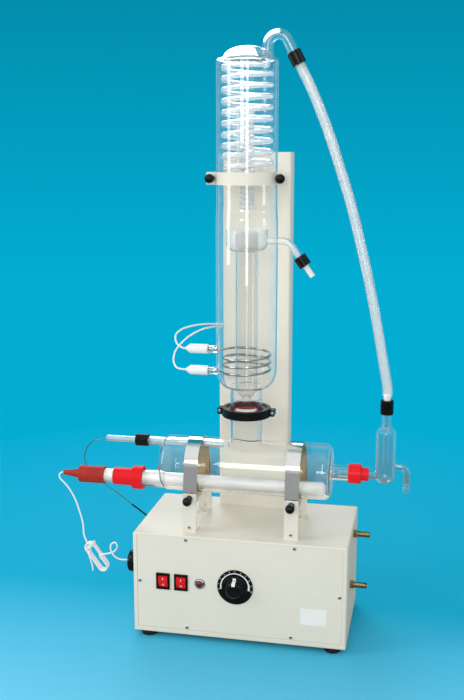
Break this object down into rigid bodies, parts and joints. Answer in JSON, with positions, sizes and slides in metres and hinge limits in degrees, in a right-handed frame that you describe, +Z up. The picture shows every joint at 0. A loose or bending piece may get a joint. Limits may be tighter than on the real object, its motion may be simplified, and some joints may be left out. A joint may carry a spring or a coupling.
{
  "type": "glass water distiller",
  "caption": "Two-stage glass water distiller: clamped boiler and condenser column on a steel cabinet with a power dial, rocker switches, screw caps and a coolant hose.",
  "frame": {"origin": "under the middle of the rigid pieces' footprint, on the bench surface", "axes": "+Z up along the column, +X to the right seen from the front, +Y to the back"},
  "size_m": [0.6797, 0.2578, 1.1077],
  "materials": {
    "cream_paint": "smooth satin enamel",
    "black_rubber": "matt",
    "black_plastic": "moulded, slightly glossy",
    "grey_plastic": "moulded",
    "red_rocker": "glossy",
    "red_cap": "moulded, ribbed",
    "red_lens": "translucent",
    "brown_silicone": "matt",
    "white_silicone": "matt",
    "red_silicone": "matt",
    "amber_silicone": "translucent",
    "clear_hose": "translucent silicone",
    "white_plastic": "moulded",
    "white_sleeve": "glass-fibre sleeving",
    "capillary_metal": "drawn",
    "steel": "brushed",
    "bright_steel": "bright zinc",
    "dark_metal": "drawn tube",
    "brass": "turned",
    "borosilicate": "clear",
    "quartz": "clear, slightly milky",
    "coil_glass": "clear",
    "ceramic_former": "unglazed"
  },
  "bodies": {
    "stand": {"cabinet_shell": "cream_paint", "front_panel": "cream_paint", "rear_panel": "cream_paint", "panel_screws": "bright_steel", "feet": "black_rubber", "dial_plate": "black_plastic", "energy_regulator": "grey_plastic", "switch_bodies": "black_plastic", "lamp_bezel": "bright_steel", "lamp_lens": "red_lens", "lead_bushing": "black_plastic", "water_tails": "brass", "flow_switch": "grey_plastic", "thermostat": "grey_plastic", "mains_gland": "black_plastic", "back_plate": "cream_paint", "grommets": "black_rubber", "column_bracket": "cream_paint", "column_strap": "cream_paint", "strap_studs": "bright_steel", "saddles": "cream_paint", "bands": "steel", "band_liners": "amber_silicone", "bracket_screws": "bright_steel", "boiler": "borosilicate", "heater_sheath": "quartz", "heater_element": "ceramic_former", "heater_boot": "brown_silicone", "sensor_tube": "borosilicate", "sensor_bulb": "capillary_metal", "level_vessel": "borosilicate", "hose_nipple": "white_plastic", "column_jacket": "borosilicate", "outer_coil": "coil_glass", "inner_coil": "coil_glass", "riser_tube": "borosilicate", "collector_cup": "borosilicate", "product_nozzle": "white_plastic", "spiral_heater": "dark_metal", "terminal_boots": "white_silicone", "flange_clamp": "black_plastic", "flange_gasket": "red_silicone", "clamp_screws": "bright_steel", "feed_hose": "clear_hose", "element_leads": "white_sleeve", "heater_lead": "white_sleeve", "capillary": "capillary_metal"},
    "regulator_knob_body": {"regulator_knob": "black_plastic"},
    "rocker_left_body": {"rocker_left": "red_rocker"},
    "rocker_right_body": {"rocker_right": "red_rocker"},
    "strap_knob_left_body": {"strap_knob_left": "black_plastic"},
    "strap_knob_right_body": {"strap_knob_right": "black_plastic"},
    "band_knob_left_body": {"band_knob_left": "black_plastic"},
    "band_knob_right_body": {"band_knob_right": "black_plastic"},
    "heater_cap_body": {"heater_cap": "red_cap"},
    "sensor_cap_body": {"sensor_cap": "black_plastic"},
    "inlet_cap_body": {"inlet_cap": "red_cap"},
    "level_cap_body": {"level_cap": "black_plastic"},
    "product_cap_body": {"product_cap": "black_plastic"},
    "arch_cap_body": {"arch_cap": "black_plastic"}
  },
  "joints": [
    {"name": "regulator_turn", "type": "hinge", "parent": "stand", "child": "regulator_knob_body", "pos_m": [0.0259, -0.1181, 0.115], "axis": [0, 1, 0], "range_deg": [-110, 110]},
    {"name": "rocker_left_tilt", "type": "hinge", "parent": "stand", "child": "rocker_left_body", "pos_m": [-0.1111, -0.1071, 0.115], "axis": [-1, 0, 0], "range_deg": [0, 16]},
    {"name": "rocker_right_tilt", "type": "hinge", "parent": "stand", "child": "rocker_right_body", "pos_m": [-0.0766, -0.1071, 0.115], "axis": [-1, 0, 0], "range_deg": [0, 16]},
    {"name": "strap_knob_left_turn", "type": "hinge", "parent": "stand", "child": "strap_knob_left_body", "pos_m": [-0.0331, -0.0431, 0.854], "axis": [0, -1, 0], "range_deg": [0, 540]},
    {"name": "strap_knob_right_turn", "type": "hinge", "parent": "stand", "child": "strap_knob_right_body", "pos_m": [0.0929, -0.0431, 0.854], "axis": [0, -1, 0], "range_deg": [0, 540]},
    {"name": "band_knob_left_turn", "type": "hinge", "parent": "stand", "child": "band_knob_left_body", "pos_m": [-0.0651, -0.0971, 0.2715], "axis": [0, -1, 0], "range_deg": [0, 540]},
    {"name": "band_knob_right_turn", "type": "hinge", "parent": "stand", "child": "band_knob_right_body", "pos_m": [0.1249, -0.0971, 0.2715], "axis": [0, -1, 0], "range_deg": [0, 540]},
    {"name": "heater_cap_turn", "type": "hinge", "parent": "stand", "child": "heater_cap_body", "pos_m": [-0.1991, -0.0241, 0.2845], "axis": [-1, 0, 0], "range_deg": [0, 540]},
    {"name": "sensor_cap_turn", "type": "hinge", "parent": "stand", "child": "sensor_cap_body", "pos_m": [-0.1721, -0.0241, 0.36], "axis": [-1, 0, 0], "range_deg": [0, 540]},
    {"name": "inlet_cap_turn", "type": "hinge", "parent": "stand", "child": "inlet_cap_body", "pos_m": [0.2359, -0.0241, 0.3195], "axis": [1, 0, 0], "range_deg": [0, 540]},
    {"name": "level_cap_turn", "type": "hinge", "parent": "stand", "child": "level_cap_body", "pos_m": [0.2879, -0.0241, 0.448], "axis": [0, 0, 1], "range_deg": [0, 540]},
    {"name": "product_cap_turn", "type": "hinge", "parent": "stand", "child": "product_cap_body", "pos_m": [0.13059, -0.0241, 0.70876], "axis": [0.5736, 0, -0.8192], "range_deg": [0, 540]},
    {"name": "arch_cap_turn", "type": "hinge", "parent": "stand", "child": "arch_cap_body", "pos_m": [0.1156, -0.0241, 1.05871], "axis": [0.4633, 0, -0.8862], "range_deg": [0, 540]}
  ]
}
